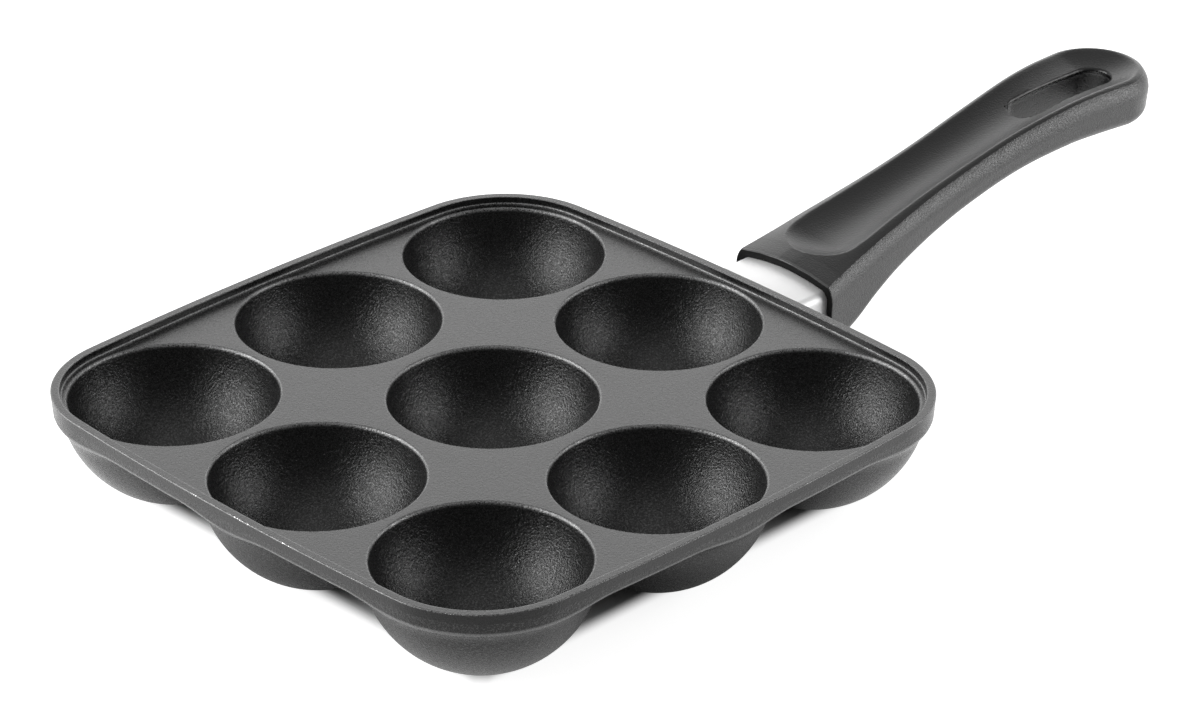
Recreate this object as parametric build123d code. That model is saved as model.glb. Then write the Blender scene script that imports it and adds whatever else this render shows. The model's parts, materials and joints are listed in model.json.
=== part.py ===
from build123d import *
from math import sqrt
import os

# Pan for nine round filled pancakes: a square casting with nine bowls, a steel sleeve and a moulded handle.
# Millimetres, +Z up. The origin is at the foot of the middle bowl, and the handle points along +X.

# Bowls
bowl_radius = 32.7
bowl_wall = 2.775
bowl_centre_rise = 1.6  # the balls' centres lie this far above the plate
bowl_lip_radius = 0.9
foot_radius = 8.0  # flat turned under each bowl, which stands on the hob
cove_radius = 8.0  # hollow round where each ball runs into the plate's underside
bowl_web = 4.3  # plate left between the middle bowl's mouth and each of its four neighbours
corner_draw_in = 2.25  # the corner bowls sit this much nearer the middle than the edge bowls

# Plate and its stepped rim
side_bow_radius = 1210.0
rim_corner_radius = 36.5
rim_height = 3.03
rim_top_width = 2.87
ledge_height = 1.1
ledge_width = 0.65
ledge_gap = 0.05  # from an edge bowl's mouth to the foot of the ledge
plate_thickness = 3.0
wall_draft_share = 0.078  # how far the outer wall leans in, per unit of its height
rim_edge_radius = 0.45

# Sleeve between the pan and the grip
sleeve_width = 37.5
sleeve_height = 20.5
sleeve_drop = 1.8  # its top lies this far below the plate's upper face
sleeve_crown = 1.6
sleeve_corner_radius = 3.2
sleeve_metal = 1.0
sleeve_shown = 18.0
sleeve_in_grip = 3.0  # how deep its end sits in the grip's mouth

# Root and tang cast on the pan
root_proud = 0.8
root_length = 1.53  # from the rim to the sleeve
root_overlap = 12.67  # how far inside the rim it starts, in the edge bowl's wall
core_clearance = 0.3
tang_width = 20.0
tang_height = 9.0
tang_drop = 10.0  # middle of the tang, below the plate's upper face
tang_in_grip = 21.8

# Grip
grip_reach = 149.8  # from its mouth to the middle of its rounded end
grip_width = 43.4
grip_depth = 23.2
grip_rise = 23.4
grip_drop = 1.3  # the crease at the mouth lies this far below the plate's upper face
side_round_width = 2.2
side_round_height = 3.9
side_lean = 0.5
lower_edge_radius = 4.4
underside_sag = 0.8
trough_front_radius = 13.3
ridge_width = 3.1
trough_depth = 4.6
slot_length = 45.8  # its far end is round about the same point as the grip's end
slot_width = 13.0

# Screw and spring washer, put in from below
screw_in_grip = 11.8  # from the grip's mouth
screw_diameter = 5.0
screw_head_diameter = 9.0
screw_head_height = 3.2
screw_grip = 7.0  # length held in the tang
screw_recess_width = 1.2
screw_recess_depth = 1.8
washer_outer = 9.4
washer_bore = 5.4
washer_thickness = 1.2
washer_split = 0.8
washer_seat_wall = 2.6  # moulding between the washer and the tang's socket

fit_clearance = 0.3
screw_clearance = 0.2
cut_overrun = 1.0

# Stations of the grip, each as shares: along, half width, rise of the crease, depth, crown of the top
grip_shares = [
    (0.000, 1.000, 0.000, 1.000, 0.118),
    (0.092, 0.912, 0.130, 0.989, 0.160),
    (0.172, 0.853, 0.243, 0.836, 0.192),
    (0.252, 0.798, 0.346, 0.720, 0.196),
    (0.372, 0.730, 0.500, 0.638, 0.196),
    (0.493, 0.709, 0.647, 0.586, 0.196),
    (0.653, 0.735, 0.838, 0.578, 0.198),
    (0.813, 0.809, 0.974, 0.625, 0.202),
    (0.907, 0.859, 1.000, 0.659, 0.200),
    (1.000, 0.898, 0.983, 0.677, 0.200),
]
# Ridge beside the trough and depth of the trough, along the same grip: along, ridge width, depth
trough_shares = [
    (0.132, 1.19, 0.65),
    (0.172, 1.00, 0.70),
    (0.252, 0.94, 0.75),
    (0.372, 0.74, 0.75),
    (0.493, 0.63, 0.75),
    (0.653, 0.56, 0.82),
    (0.813, 0.50, 0.92),
    (0.907, 0.55, 0.98),
    (1.000, 0.60, 1.00),
]
# Stations of the trough's rounded front, as shares of its radius ahead of the first station above
trough_front_shares = [0.97, 0.82, 0.5]

# Worked out from the sizes above
bowl_outer_radius = bowl_radius + bowl_wall
bowl_mouth = bowl_radius + bowl_lip_radius
edge_bowl_distance = 2 * bowl_mouth + bowl_web
corner_bowl_offset = edge_bowl_distance - corner_draw_in
rim_half_width = edge_bowl_distance + bowl_mouth + ledge_gap + ledge_width + rim_top_width  # mid-side
ball_height = sqrt(bowl_outer_radius**2 - foot_radius**2)
plate_top = ball_height - bowl_centre_rise
plate_bottom = plate_top - plate_thickness
rim_top = plate_top + rim_height
sleeve_top = plate_top - sleeve_drop
sleeve_bottom = sleeve_top - sleeve_height
root_start = rim_half_width - root_overlap
sleeve_start = rim_half_width + root_length
grip_mouth = sleeve_start + sleeve_shown
sleeve_end = grip_mouth + sleeve_in_grip
tang_end = grip_mouth + tang_in_grip
screw_place = grip_mouth + screw_in_grip
tang_middle = plate_top - tang_drop
tang_underside = tang_middle - tang_height / 2
grip_end_centre = grip_mouth + grip_reach
slot_middle = grip_end_centre + slot_width / 2 - slot_length / 2
washer_seat = tang_underside - fit_clearance - washer_seat_wall
screw_head_top = washer_seat - washer_thickness
bowl_places = [(0, 0)]
for sign in (-1, 1):
    bowl_places += [(sign * edge_bowl_distance, 0), (0, sign * edge_bowl_distance)]
    bowl_places += [(sign * corner_bowl_offset, other * corner_bowl_offset) for other in (-1, 1)]


def rim_outline(inset, height):
    """Square outline of four bowed sides and four round corners, all tangent."""
    to_side_centre = side_bow_radius - rim_half_width
    centre_gap = side_bow_radius - rim_corner_radius
    corner = (sqrt(2 * centre_gap**2 - to_side_centre**2) - to_side_centre) / 2
    side_radius = side_bow_radius - inset
    corner_radius = rim_corner_radius - inset
    along = corner / centre_gap * side_radius
    across = (corner + to_side_centre) / centre_gap * side_radius - to_side_centre
    diagonal = corner + corner_radius / sqrt(2)
    side = ThreePointArc((-along, across), (0, rim_half_width - inset), (along, across))
    turn = ThreePointArc((along, across), (diagonal, diagonal), (across, along))
    quarter = [side, turn]
    edges = [edge.rotate(Axis.Z, 90 * step) for step in range(4) for edge in quarter]
    return Pos(0, 0, height) * make_face(Wire(edges))


def drafted_block():
    """Everything inside the outer wall, which leans in towards its foot."""
    lower = rim_outline(rim_top * wall_draft_share, 0)
    upper = rim_outline(0, rim_top)
    return loft([lower, upper], ruled=True)


def arc_round(centre, start, end):
    """Shorter arc about a centre, from one point to another, in the upright plane."""
    middle, first, last = [Vector(across, 0, height) for across, height in (centre, start, end)]
    outward = (first + last - 2 * middle).normalized()
    return ThreePointArc(first, middle + outward * (first - middle).length, last)


def turned(arcs, corners):
    """Solid turned about +Z from arcs and the straight lines through the corners that close them."""
    lines = Polyline([(across, 0, height) for across, height in corners])
    return revolve(make_face(Wire(arcs + lines.edges())), Axis.Z)


def bowl_outside():
    """Ball under one bowl, cut flat at its foot, with a cove where it runs into the plate."""
    cove_height = plate_bottom - cove_radius
    to_cove = bowl_outer_radius + cove_radius
    cove_place = sqrt(to_cove**2 - (ball_height - cove_height)**2)
    along = bowl_outer_radius / to_cove
    meet = (cove_place * along, ball_height + (cove_height - ball_height) * along)
    inside_plate = plate_top - plate_thickness / 2
    ball = arc_round((0, ball_height), (foot_radius, 0), meet)
    cove = arc_round((cove_place, cove_height), meet, (cove_place, plate_bottom))
    cove_end = [(cove_place, plate_bottom), (cove_place, inside_plate)]
    return turned([ball, cove], cove_end + [(0, inside_plate), (0, 0), (foot_radius, 0)])


def bowl_inside():
    """Space inside one bowl, with a rounded lip where it meets the plate."""
    lip_height = plate_top - bowl_lip_radius
    wall = sqrt(bowl_radius**2 - (ball_height - lip_height)**2)
    mouth = wall + bowl_lip_radius
    low = ball_height - bowl_radius
    clear = rim_top + cut_overrun
    ball = arc_round((0, ball_height), (0, low), (wall, lip_height))
    lip = arc_round((mouth, lip_height), (wall, lip_height), (mouth, plate_top))
    return turned([ball, lip], [(mouth, plate_top), (mouth, clear), (0, clear), (0, low)])


def sleeve_section(outset, along):
    """Outline of the sleeve across the handle, made larger or smaller all round."""
    half = sleeve_width / 2 + outset
    radius = sleeve_corner_radius + outset
    top = sleeve_top + outset
    shoulder = top - sleeve_crown
    bottom = sleeve_bottom - outset
    inner = half - radius
    bend = radius / sqrt(2)
    side_top = shoulder - radius
    side_foot = bottom + radius
    upper_middle = (along, inner + bend, side_top + bend)
    lower_middle = (along, inner + bend, side_foot - bend)
    right = [
        ThreePointArc((along, inner, shoulder), upper_middle, (along, half, side_top)),
        Line((along, half, side_top), (along, half, side_foot)),
        ThreePointArc((along, half, side_foot), lower_middle, (along, inner, bottom)),
    ]
    crown = ThreePointArc((along, -inner, shoulder), (along, 0, top), (along, inner, shoulder))
    floor = Line((along, inner, bottom), (along, -inner, bottom))
    left = [edge.mirror(Plane.XZ) for edge in right]
    return make_face(Wire([crown] + right + [floor] + left))


def sleeve_block(outset, start, end):
    """Block of the sleeve's outline between two places along the handle."""
    return extrude(sleeve_section(outset, start), amount=end - start, dir=(1, 0, 0))


def make_pan_body():
    """One casting: plate, stepped rim, nine bowls, and the root and tang of the handle."""
    slab_height = rim_top - plate_bottom
    slab_width = 3 * rim_half_width
    slab = Pos(0, 0, plate_bottom + slab_height / 2) * Box(slab_width, slab_width, slab_height)
    body = slab + [Pos(x, y, 0) * bowl_outside() for x, y in bowl_places]
    body = drafted_block() & body
    body = fillet(body.faces().sort_by(Axis.Z)[-1].edges(), rim_edge_radius)
    ledge_inset = rim_top_width
    floor_inset = rim_top_width + ledge_width
    body -= extrude(rim_outline(ledge_inset, plate_top + ledge_height), amount=rim_height)
    body -= extrude(rim_outline(floor_inset, plate_top), amount=rim_height)
    body += sleeve_block(root_proud, root_start, sleeve_start)
    body += sleeve_block(-sleeve_metal - core_clearance, root_start, grip_mouth - core_clearance)
    tang_length = tang_end - root_start
    body += Pos(root_start + tang_length / 2, 0, tang_middle) * Box(tang_length, tang_width, tang_height)
    for x, y in bowl_places:
        body -= Pos(x, y, 0) * bowl_inside()
    hole = Cylinder(screw_diameter / 2 + screw_clearance / 2, tang_height + 2 * cut_overrun)
    return body - Pos(screw_place, 0, tang_middle) * hole


def make_ferrule():
    """Steel sleeve over the root, from the pan into the grip's mouth."""
    outside = sleeve_block(0, sleeve_start, sleeve_end)
    inside = sleeve_block(-sleeve_metal, sleeve_start - cut_overrun, sleeve_end + cut_overrun)
    return outside - inside


def grip_station(share_row):
    """Place and sizes of one section of the grip."""
    along, width, rise, depth, crown = share_row
    x = grip_mouth + along * grip_reach
    half = width * grip_width / 2
    crease = plate_top - grip_drop + rise * grip_rise
    return x, half, crease, depth * grip_depth, crown * half


def grip_right_edges(share_row):
    """Side of one section, from the crease round to the underside."""
    x, half, crease, depth, crown = grip_station(share_row)
    ridge = half - side_round_width
    bottom = crease - depth
    foot = half - side_lean
    round_end = crease - side_round_height
    lower = lower_edge_radius
    return [
        TangentArc((x, half, round_end), (x, ridge, crease), tangent=(0, 0, 1)),
        Line((x, half, round_end), (x, foot, bottom + lower)),
        TangentArc((x, foot - lower, bottom), (x, foot, bottom + lower), tangent=(0, 1, 0)),
    ]


def grip_section(share_row):
    """Closed section of the grip: crowned top, round sides, slightly sagging underside."""
    x, half, crease, depth, crown = grip_station(share_row)
    ridge = half - side_round_width
    bottom = crease - depth
    inner = half - side_lean - lower_edge_radius
    top = ThreePointArc((x, -ridge, crease), (x, 0, crease + crown), (x, ridge, crease))
    right = grip_right_edges(share_row)
    floor = ThreePointArc((x, inner, bottom), (x, 0, bottom - underside_sag), (x, -inner, bottom))
    left = [edge.mirror(Plane.XZ) for edge in right]
    return make_face(Wire([top] + right + [floor] + left))


def half_turned_end(section, x):
    """Half of a section turned about the upright line through its middle, as a round end."""
    span = 2 * grip_width
    half = section & Pos(x, span / 2, plate_top) * Rot(0, 90, 0) * Rectangle(2 * span, span)
    return revolve(half, Axis((x, 0, 0), (0, 0, -1)), revolution_arc=180)


def trough_section(x, half, crease, crown, ridge_line, depth):
    """Section of the trough's cutter: a dished floor under an open top."""
    edge = crease + crown * (1 - (half / ridge_line)**2)
    roof = crease + 2 * crown + depth
    floor = ThreePointArc((x, -half, edge), (x, 0, edge - depth), (x, half, edge))
    roofline = Polyline((x, half, edge), (x, half, roof), (x, -half, roof), (x, -half, edge))
    return make_face(Wire([floor] + roofline.edges()))


def between(rows, along):
    """Row of shares at a place along the grip, between two stations."""
    for before, after in zip(rows, rows[1:]):
        if before[0] <= along <= after[0]:
            part = (along - before[0]) / (after[0] - before[0])
            return tuple(a + part * (b - a) for a, b in zip(before, after))
    return rows[-1]


def make_trough():
    """Cutter for the dished trough in the top, round at its front and at the grip's end."""
    sections = []
    first_along = trough_shares[0][0]
    first_depth = trough_shares[0][2] * trough_depth
    for share in trough_front_shares:
        along = first_along - share * trough_front_radius / grip_reach
        x, half, crease, depth, crown = grip_station(between(grip_shares, along))
        reach = sqrt(1 - share**2)
        row_half = trough_front_radius * reach
        ridge_line = half - side_round_width
        sections.append(trough_section(x, row_half, crease, crown, ridge_line, first_depth * reach**2))
    for along, ridge, depth_share in trough_shares:
        x, half, crease, depth, crown = grip_station(between(grip_shares, along))
        ridge_line = half - side_round_width
        row_half = ridge_line - ridge * ridge_width
        sections.append(trough_section(x, row_half, crease, crown, ridge_line, depth_share * trough_depth))
    return loft(sections) + half_turned_end(sections[-1], grip_end_centre)


def make_handle_grip():
    """Moulded grip with its trough, hang slot, mouth, tang socket and screw hole."""
    sections = [grip_section(row) for row in grip_shares]
    grip = loft(sections) + half_turned_end(sections[-1], grip_end_centre)
    grip -= make_trough()
    slot_reach = 4 * grip_depth
    slot = extrude(SlotOverall(slot_length, slot_width), amount=slot_reach / 2, both=True)
    grip -= Pos(slot_middle, 0, plate_top) * slot
    grip -= sleeve_block(fit_clearance, grip_mouth - cut_overrun, sleeve_end + fit_clearance)
    socket_length = tang_end + fit_clearance - grip_mouth
    socket = Box(socket_length, tang_width + 2 * fit_clearance, tang_height + 2 * fit_clearance)
    grip -= Pos(grip_mouth + socket_length / 2, 0, tang_middle) * socket
    shank_hole = Cylinder(screw_diameter / 2 + fit_clearance, tang_height + 2 * grip_depth)
    grip -= Pos(screw_place, 0, tang_underside - grip_depth) * shank_hole
    counterbore = Cylinder(washer_outer / 2 + fit_clearance, grip_depth)
    return grip - Pos(screw_place, 0, washer_seat - grip_depth / 2) * counterbore


def make_handle_screw():
    """Screw with a round head and a crossed recess, its head down."""
    head_height = screw_head_height
    head = Pos(0, 0, screw_head_top - head_height / 2) * Cylinder(screw_head_diameter / 2, head_height)
    head = fillet(head.faces().sort_by(Axis.Z)[0].edges(), head_height / 3)
    shank_top = tang_underside + screw_grip
    shank_length = shank_top - screw_head_top
    screw = head + Pos(0, 0, screw_head_top + shank_length / 2) * Cylinder(screw_diameter / 2, shank_length)
    recess_middle = screw_head_top - head_height
    blade = Box(screw_head_diameter / 2, screw_recess_width, 2 * screw_recess_depth)
    screw -= Pos(0, 0, recess_middle) * (blade + Rot(0, 0, 90) * blade)
    return Pos(screw_place, 0, 0) * screw


def make_lock_washer():
    """Split spring washer between the screw's head and the grip."""
    cut_height = washer_thickness + 2 * cut_overrun
    ring = Cylinder(washer_outer / 2, washer_thickness) - Cylinder(washer_bore / 2, cut_height)
    split = Box(washer_outer, washer_split, cut_height)
    ring -= Pos(washer_outer / 2, 0, 0) * split
    return Pos(screw_place, 0, washer_seat - washer_thickness / 2) * ring


os.makedirs("parts", exist_ok=True)
nodes = {
    "pan_body": make_pan_body,
    "ferrule": make_ferrule,
    "handle_grip": make_handle_grip,
    "handle_screw": make_handle_screw,
    "lock_washer": make_lock_washer,
}
for name, make in nodes.items():
    export_step(make(), f"parts/{name}.step")
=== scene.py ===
import json
from bisect import bisect_right
from math import atan2, copysign, cos, hypot, pi, radians, sin, sqrt

import bmesh
import bpy
from mathutils import Matrix, Vector

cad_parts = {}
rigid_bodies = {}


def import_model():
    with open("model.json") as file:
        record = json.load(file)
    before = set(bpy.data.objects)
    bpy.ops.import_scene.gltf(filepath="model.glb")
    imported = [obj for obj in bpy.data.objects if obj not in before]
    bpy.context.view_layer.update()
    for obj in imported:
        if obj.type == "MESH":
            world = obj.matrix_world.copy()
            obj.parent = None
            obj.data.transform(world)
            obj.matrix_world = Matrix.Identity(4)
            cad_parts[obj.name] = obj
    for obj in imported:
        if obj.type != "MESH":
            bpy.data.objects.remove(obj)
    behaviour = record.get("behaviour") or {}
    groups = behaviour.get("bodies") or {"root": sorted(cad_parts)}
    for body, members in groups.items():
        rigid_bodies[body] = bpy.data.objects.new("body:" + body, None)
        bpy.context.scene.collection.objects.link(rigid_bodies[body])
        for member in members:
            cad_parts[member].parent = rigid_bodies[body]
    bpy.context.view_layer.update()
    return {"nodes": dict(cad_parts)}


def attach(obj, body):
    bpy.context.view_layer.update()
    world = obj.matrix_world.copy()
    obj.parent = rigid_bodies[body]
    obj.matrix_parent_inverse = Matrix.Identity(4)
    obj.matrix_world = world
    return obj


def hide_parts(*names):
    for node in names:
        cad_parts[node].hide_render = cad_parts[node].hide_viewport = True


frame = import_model()
print("frame loaded:", ", ".join(sorted(frame["nodes"])))

# Every piece is drawn in millimetres in the frame's own axes, and scaled to metres as it is finished.
mm = 0.001
mergeGap = 0.004  # points nearer than this become one
sliver = 0.002  # edges shorter than this are dissolved
tiny = 1e-4  # by how much two places that are one may differ in a sum

# The casting: plate, stepped rim and nine bowls
pan = {
    "bowlRadius": 32.7,
    "bowlWall": 2.775,
    "centreRise": 1.6,  # from the plate's top to the middles of the bowls' balls
    "lipRadius": 0.9,
    "lipDepth": 1.4,
    "footRadius": 8.0,
    "footRound": 0.6,
    "footRise": 0.03,
    "coveRadius": 8.0,
    "edgeBowl": 71.5,  # from the middle of the pan to an edge bowl's
    "cornerBowl": 69.25,  # and to a corner bowl's, along each side
    "cellEdge": 35.2,  # half a side of the cell round one bowl
    "cellCuts": 27,
    "rimHalf": 108.67,
    "sideBow": 1210.0,  # radius of a side's bow
    "cornerRadius": 36.5,
    "rimHeight": 3.03,
    "rimTop": 2.87,
    "rimOuterRound": 0.45,
    "rimInnerRound": 0.3,
    "ledgeHeight": 1.1,
    "ledgeWidth": 0.65,
    "ledgeRound": 0.4,
    "stepGap": 0.02,
    "plate": 3.0,
    "wallLean": 0.078,  # the outer wall leans in by this share of its depth
    "lowerRound": 0.75,
    "lowerHighlightBand": 0.45,  # how far the painted highlights of the edges reach, below and on top
    "topHighlightBand": 0.35,
    "bowlRings": 26,
}
outerRadius = pan["bowlRadius"] + pan["bowlWall"]
ballHeight = sqrt(outerRadius**2 - pan["footRadius"]**2)
plateTop = ballHeight - pan["centreRise"]
plateBottom = plateTop - pan["plate"]
rimTop = plateTop + pan["rimHeight"]
coveHeight = plateBottom - pan["coveRadius"]
toCove = outerRadius + pan["coveRadius"]
covePlace = sqrt(toCove**2 - (ballHeight - coveHeight)**2)
coveMeets = covePlace * outerRadius / toCove
coveShares = (0.974, 0.764, 0.581, 0.424, 0.307, 0.215, 0.137, 0.072, 0)  # its rings, from outside in
floorInset = pan["rimTop"] + pan["ledgeWidth"]
bowlPlaces = {}
for column in (-1, 0, 1):
    for row in (-1, 0, 1):
        spread = pan["cornerBowl"] if column and row else pan["edgeBowl"]
        bowlPlaces[column, row] = Vector((column * spread, row * spread, 0))


def objectFrom(name, mesh):
    made = bpy.data.objects.new(name, mesh)
    bpy.context.scene.collection.objects.link(made)
    return made


def meshFrom(bm, name, smoothAngle=35, close=True):
    # merges what coincides, turns the faces outwards and hands back a mesh in metres
    bmesh.ops.remove_doubles(bm, verts=bm.verts, dist=mergeGap)
    bmesh.ops.dissolve_degenerate(bm, edges=bm.edges, dist=sliver)
    if close:
        bmesh.ops.recalc_face_normals(bm, faces=bm.faces)
    bmesh.ops.scale(bm, vec=(mm, mm, mm), verts=bm.verts)
    mesh = bpy.data.meshes.new(name)
    bm.to_mesh(mesh)
    bm.free()
    mesh.polygons.foreach_set("use_smooth", [True] * len(mesh.polygons))
    mesh.set_sharp_from_angle(angle=radians(smoothAngle))
    return mesh


def weighNormals(piece):
    # flat faces keep flat shading right up to the rounds beside them
    weighted = piece.modifiers.new("flatFaces", "WEIGHTED_NORMAL")
    weighted.mode = "FACE_AREA"
    weighted.weight = 80
    weighted.keep_sharp = True


def grow(bm, edges, place, wearAndHighlight=0.0):
    # extrudes a loop of edges and moves each new vertex to where place puts it; the last argument marks how
    # strongly a rounded edge is painted paler as a painted highlight, which on the rim's outer edge also
    # places the nicks
    grown = bmesh.ops.extrude_edge_only(bm, edges=edges)["geom"]
    verts = {part for part in grown if isinstance(part, bmesh.types.BMVert)}
    layer = bm.verts.layers.float.get("wearAndHighlight")
    for vert in verts:
        vert.co = place(vert.co)
        if layer:
            vert[layer] = wearAndHighlight
    return [part for part in grown if isinstance(part, bmesh.types.BMEdge) and verts.issuperset(part.verts)]


def closePole(bm, edges, centre):
    verts = list({vert for edge in edges for vert in edge.verts})
    bmesh.ops.pointmerge(bm, verts=verts, merge_co=centre)


def ringThrough(bm, points):
    # a closed loop of vertices through the points, in order
    verts = bmesh.ops.create_circle(bm, cap_ends=False, segments=len(points), radius=1)["verts"]
    for vert, point in zip(verts, points):
        vert.co = point
    return list({edge for vert in verts for edge in vert.link_edges})


def skin(bm, rings, cyclic=False):
    pairs = list(zip(rings, rings[1:]))
    if cyclic:
        pairs.append((rings[-1], rings[0]))
    for first, second in pairs:
        bmesh.ops.bridge_loops(bm, edges=first + second)


def evenly(start, end, steps):
    return [start + (end - start) * step / steps for step in range(steps + 1)]


def arcPoints(centre, radius, startDegrees, endDegrees, steps):
    # points on an arc, as pairs
    turns = [radians(degrees) for degrees in evenly(startDegrees, endDegrees, steps)]
    return [(centre[0] + radius * cos(turn), centre[1] + radius * sin(turn)) for turn in turns]


# The outline of the rim: four bowed sides and four round corners, all tangent
toSideCentre = pan["sideBow"] - pan["rimHalf"]
centreGap = pan["sideBow"] - pan["cornerRadius"]
cornerPlace = (sqrt(2 * centreGap**2 - toSideCentre**2) - toSideCentre) / 2
cornerStart = atan2(cornerPlace + toSideCentre, cornerPlace)


def rimPoint(x, y, inset, height):
    # the point across from (x, y) on the outline, moved in by the inset
    alongX, alongY = abs(x), abs(y)
    turn = atan2(alongY - cornerPlace, alongX - cornerPlace)
    beyond = alongX > cornerPlace or alongY > cornerPlace
    if beyond and pi / 2 - cornerStart <= turn <= cornerStart:
        reach = pan["cornerRadius"] - inset
        alongX = cornerPlace + reach * cos(turn)
        alongY = cornerPlace + reach * sin(turn)
    else:
        swap = alongX > alongY
        if swap:
            alongX, alongY = alongY, alongX
        share = (pan["sideBow"] - inset) / hypot(alongX, alongY + toSideCentre)
        alongX, alongY = alongX * share, (alongY + toSideCentre) * share - toSideCentre
        if swap:
            alongX, alongY = alongY, alongX
    return Vector((alongX if x >= 0 else -alongX, alongY if y >= 0 else -alongY, height))


def wallInset(height):
    return (rimTop - height) * pan["wallLean"]


def bowlUnderside(distance):
    # height of one bowl's outer surface, at a distance from its middle
    if distance >= covePlace:
        return plateBottom
    if distance > coveMeets:
        return coveHeight + sqrt(pan["coveRadius"]**2 - (covePlace - distance)**2)
    return ballHeight - sqrt(outerRadius**2 - distance**2)


def undersideAt(x, y):
    return min(bowlUnderside(hypot(x - place.x, y - place.y)) for place in bowlPlaces.values())


def cellNetwork(bm, placeOnRim, height):
    # nine cells, one round each bowl, that share their borders; the outer border lies on the rim
    # they are drawn as unit squares first, from -1.5 to 1.5 each way, and then moved to their places
    grid = bmesh.ops.create_grid(bm, x_segments=3, y_segments=3, size=1.5)["verts"]
    edges = list({edge for vert in grid for edge in vert.link_edges})
    faces = list({face for vert in grid for face in vert.link_faces})
    bmesh.ops.delete(bm, geom=faces, context="FACES_ONLY")
    cut = bmesh.ops.subdivide_edges(bm, edges=edges, cuts=pan["cellCuts"])
    cut = set(edges) | {part for part in cut["geom"] if isinstance(part, bmesh.types.BMEdge)}

    def awayFrom(middle, edge):
        # how far the edge lies from a point, along the axis on which it is farther
        halfway = (edge.verts[0].co.xy + edge.verts[1].co.xy) / 2 - Vector(middle)
        return max(abs(halfway.x), abs(halfway.y))

    cells = {}
    for place in bowlPlaces:
        cells[place] = [edge for edge in cut if abs(awayFrom(place, edge) - 0.5) < tiny]
    border = [edge for edge in cut if awayFrom((0, 0), edge) > 1.5 - tiny]
    sideLength = cornerPlace * pan["sideBow"] / centreGap - pan["cellEdge"]
    arcAngle = cornerStart - pi / 4
    borderLength = sideLength + pan["cornerRadius"] * arcAngle

    def onBorder(along, side):
        # along runs from -1.5 to 1.5 beside one side of the square
        if abs(along) <= 0.5:
            return (2 * along * pan["cellEdge"], pan["rimHalf"] * side)
        walked = (abs(along) - 0.5) * borderLength
        x, y = pan["cellEdge"] + walked, pan["rimHalf"]
        if walked > sideLength:
            turn = cornerStart - (walked - sideLength) / pan["cornerRadius"]
            x = cornerPlace + pan["cornerRadius"] * cos(turn)
            y = cornerPlace + pan["cornerRadius"] * sin(turn)
        return (copysign(x, along), y * side)

    for vert in {vert for edge in cut for vert in edge.verts}:
        u, v = vert.co.x, vert.co.y
        if abs(v) > 1.5 - tiny:
            vert.co = placeOnRim(*onBorder(u, v / abs(v)))
        elif abs(u) > 1.5 - tiny:
            y, x = onBorder(v, u / abs(u))
            vert.co = placeOnRim(x, y)
        else:
            inner = Vector((max(-0.5, min(0.5, u)), max(-0.5, min(0.5, v)))) * 2 * pan["cellEdge"]
            past = max(abs(u), abs(v)) - 0.5
            x, y = inner
            if past > tiny:
                if abs(v) > abs(u):
                    rim = placeOnRim(x, copysign(pan["rimHalf"], v))
                else:
                    rim = placeOnRim(copysign(pan["rimHalf"], u), y)
                x, y = inner + (rim.xy - inner) * past
            vert.co = (x, y, height(x, y))
    return cells, border


def nearestBowl(point):
    return min(bowlPlaces.values(), key=lambda middle: (point.xy - middle.xy).length)


def about(radius, height, middle=None):
    # moves a point to a circle round its bowl's middle, in its own direction
    def place(point):
        centre = middle or nearestBowl(point)
        away = (point.xy - centre.xy).normalized() * radius
        return Vector((centre.x + away.x, centre.y + away.y, height))
    return place


def growBowls(bm, edges, rings, poleHeight):
    # carries the loops of all nine bowls through the rings, and closes each at its pole
    for (radius, height), wearAndHighlight in rings:
        edges = grow(bm, edges, about(radius, height), wearAndHighlight)
    last = {vert for edge in edges for vert in edge.verts}
    for middle in bowlPlaces.values():
        loop = [vert for vert in last if vert.is_valid and (vert.co.xy - middle.xy).length < pan["cellEdge"]]
        bmesh.ops.pointmerge(bm, verts=loop, merge_co=middle + Vector((0, 0, poleHeight)))


def buildPanTop(bm):
    cells, border = cellNetwork(bm, lambda x, y: rimPoint(x, y, floorInset, plateTop), lambda x, y: plateTop)
    radius, depth = pan["bowlRadius"], pan["lipDepth"]
    below = ballHeight - plateTop
    mouth = sqrt(radius**2 - (below + pan["lipRadius"])**2) + pan["lipRadius"]
    wall = sqrt(radius**2 - (below + depth)**2)
    lipHeight = plateTop - depth
    lip = [(mouth - (mouth - wall) * sin(turn), lipHeight + depth * cos(turn))
           for turn in evenly(0, pi / 2, 6)]
    # painted highlight: how strongly each ring of the lip's round is painted paler
    lipHighlight = (0.4, 1, 1, 0.7, 0.3, 0)
    lipEnd = atan2(lipHeight - ballHeight, wall)
    turns = evenly(lipEnd, -pi / 2, pan["bowlRings"])[1:-1]
    ball = [(radius * cos(turn), ballHeight + radius * sin(turn)) for turn in turns]
    loops = []
    for place, edges in cells.items():
        loops += grow(bm, edges, about(*lip[0], bowlPlaces[place]))
    rings = list(zip(lip[1:], lipHighlight)) + [(ring, 0) for ring in ball]
    growBowls(bm, loops, rings, ballHeight - radius)
    return border


def drawIn(middle, radius):
    # moves a point in to a circle round a bowl's middle, if it lies outside it, and onto the underside
    def place(point):
        away = point.xy - middle.xy
        x, y = middle.xy + away.normalized() * min(radius, away.length)
        return Vector((x, y, undersideAt(x, y)))
    return place


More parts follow.
